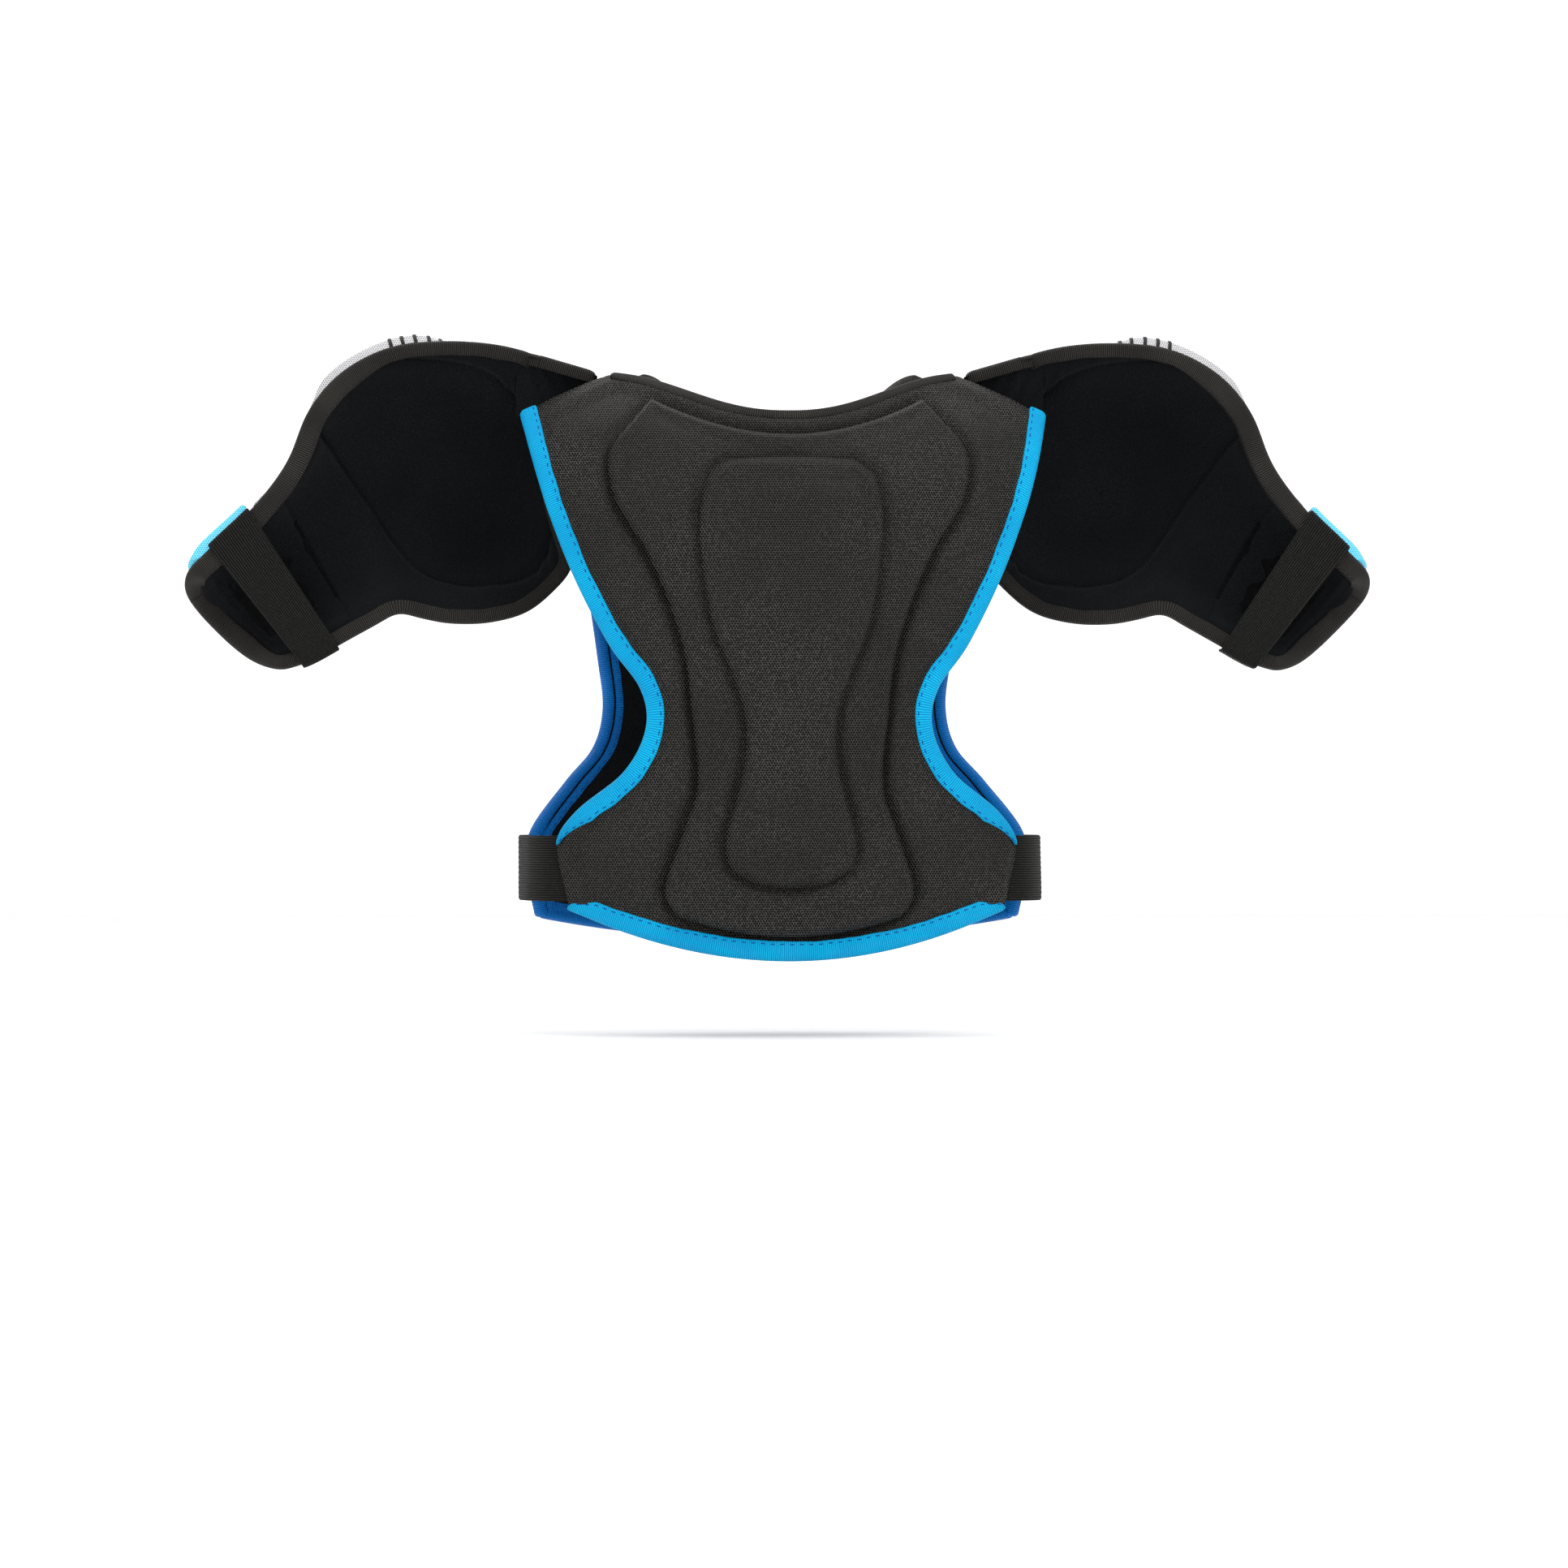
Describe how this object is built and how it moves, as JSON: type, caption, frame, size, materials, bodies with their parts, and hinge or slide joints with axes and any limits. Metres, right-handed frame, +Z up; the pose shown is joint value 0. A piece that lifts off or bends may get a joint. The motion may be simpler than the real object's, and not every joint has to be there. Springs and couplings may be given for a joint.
{
  "type": "hockey shoulder pads",
  "caption": "Padded torso vest with raised spine pads, side elastic straps and two hinged shoulder caps with biceps guards, worn under a jersey for ice hockey.",
  "frame": {"origin": "where the pads sit on the wearer's shoulders: the middle of the shoulder line", "axes": "+Z up, -Y the wearer's front, +X the wearer's left"},
  "size_m": [0.7482, 0.2135, 0.3867],
  "materials": {
    "black_mesh": "coarse woven mesh over foam",
    "black_lining": "brushed knit",
    "cyan_binding": "ribbed grosgrain tape",
    "blue_binding": "ribbed grosgrain tape",
    "black_binding": "ribbed grosgrain tape",
    "black_elastic": "woven elastic",
    "hook_and_loop": "napped loop pile",
    "white_cover": "fine white mesh",
    "light_blue_cover": "smooth coated textile",
    "stiff_plate": "moulded polyethylene"
  },
  "bodies": {
    "torso": {"back_lining": "black_lining", "back_panel": "black_mesh", "back_yoke_pad": "black_mesh", "spine_plate": "stiff_plate", "spine_pad": "black_mesh", "left_back_binding": "cyan_binding", "right_back_binding": "cyan_binding", "back_hem_binding": "cyan_binding", "back_neck_binding": "black_binding", "left_shoulder_yoke": "black_mesh", "right_shoulder_yoke": "black_mesh", "left_waist_elastic": "black_elastic", "right_waist_elastic": "black_elastic"},
    "chest": {"chest_lining": "black_lining", "chest_panel": "black_mesh", "sternum_plate": "stiff_plate", "sternum_pad": "black_mesh", "left_chest_pad": "white_cover", "right_chest_pad": "white_cover", "left_chest_binding": "blue_binding", "right_chest_binding": "blue_binding", "chest_hem_binding": "blue_binding", "chest_neck_binding": "black_binding", "left_loop_patch": "hook_and_loop", "right_loop_patch": "hook_and_loop"},
    "left_waist_tab_body": {"left_waist_tab": "black_elastic"},
    "left_flap": {"left_shoulder_flap": "black_mesh"},
    "left_cap": {"left_cap_lining": "black_lining", "left_cap_inner_pad": "black_lining", "left_cap_foam": "black_lining", "left_cap_shell": "stiff_plate", "left_cap_cover": "white_cover", "left_cap_binding": "black_binding"},
    "left_biceps": {"left_biceps_lining": "black_lining", "left_biceps_loop": "hook_and_loop", "left_biceps_foam": "black_lining", "left_biceps_guard": "light_blue_cover", "left_biceps_binding": "black_binding", "left_biceps_strap": "black_elastic"},
    "left_biceps_tab_body": {"left_biceps_tab": "black_elastic"},
    "right_waist_tab_body": {"right_waist_tab": "black_elastic"},
    "right_flap": {"right_shoulder_flap": "black_mesh"},
    "right_cap": {"right_cap_lining": "black_lining", "right_cap_inner_pad": "black_lining", "right_cap_foam": "black_lining", "right_cap_shell": "stiff_plate", "right_cap_cover": "white_cover", "right_cap_binding": "black_binding"},
    "right_biceps": {"right_biceps_lining": "black_lining", "right_biceps_loop": "hook_and_loop", "right_biceps_foam": "black_lining", "right_biceps_guard": "light_blue_cover", "right_biceps_binding": "black_binding", "right_biceps_strap": "black_elastic"},
    "right_biceps_tab_body": {"right_biceps_tab": "black_elastic"}
  },
  "joints": [
    {"name": "chest_swing", "type": "hinge", "parent": "torso", "child": "chest", "pos_m": [0, -0.018, -0.004], "axis": [-1, 0, 0], "range_deg": [-2, 12], "stiffness_Nm_per_rad": 1.2, "deforming": ["left_waist_elastic", "right_waist_elastic"]},
    {"name": "left_waist_tab_peel", "type": "hinge", "parent": "chest", "child": "left_waist_tab_body", "pos_m": [0.1489, -0.0566, -0.297], "axis": [0, 0, 1], "range_deg": [0, 90]},
    {"name": "left_arm_lift", "type": "hinge", "parent": "torso", "child": "left_flap", "pos_m": [0.112, -0.001, 0.0105], "axis": [0, -1, 0], "range_deg": [-1, 40]},
    {"name": "left_arm_swing", "type": "hinge", "parent": "left_flap", "child": "left_cap", "pos_m": [0.1435, -0.006, 0.018], "axis": [0, 0, -1], "range_deg": [-25, 2]},
    {"name": "left_biceps_flex", "type": "hinge", "parent": "left_cap", "child": "left_biceps", "pos_m": [0.27375, -0.018, -0.0925], "axis": [0.4536, 0, 0.8912], "range_deg": [-8, 18]},
    {"name": "left_biceps_tab_peel", "type": "hinge", "parent": "left_biceps", "child": "left_biceps_tab_body", "pos_m": [0.28683, -0.02539, -0.16475], "axis": [0.878, -0.0665, -0.474], "range_deg": [0, 100]},
    {"name": "right_waist_tab_peel", "type": "hinge", "parent": "chest", "child": "right_waist_tab_body", "pos_m": [-0.1489, -0.0566, -0.297], "axis": [0, 0, -1], "range_deg": [0, 90]},
    {"name": "right_arm_lift", "type": "hinge", "parent": "torso", "child": "right_flap", "pos_m": [-0.112, -0.001, 0.0105], "axis": [0, 1, 0], "range_deg": [-1, 40]},
    {"name": "right_arm_swing", "type": "hinge", "parent": "right_flap", "child": "right_cap", "pos_m": [-0.1435, -0.006, 0.018], "axis": [0, 0, 1], "range_deg": [-25, 2]},
    {"name": "right_biceps_flex", "type": "hinge", "parent": "right_cap", "child": "right_biceps", "pos_m": [-0.27375, -0.018, -0.0925], "axis": [0.4536, 0, -0.8912], "range_deg": [-8, 18]},
    {"name": "right_biceps_tab_peel", "type": "hinge", "parent": "right_biceps", "child": "right_biceps_tab_body", "pos_m": [-0.28683, -0.02539, -0.16475], "axis": [0.878, 0.0665, 0.474], "range_deg": [0, 100]}
  ]
}
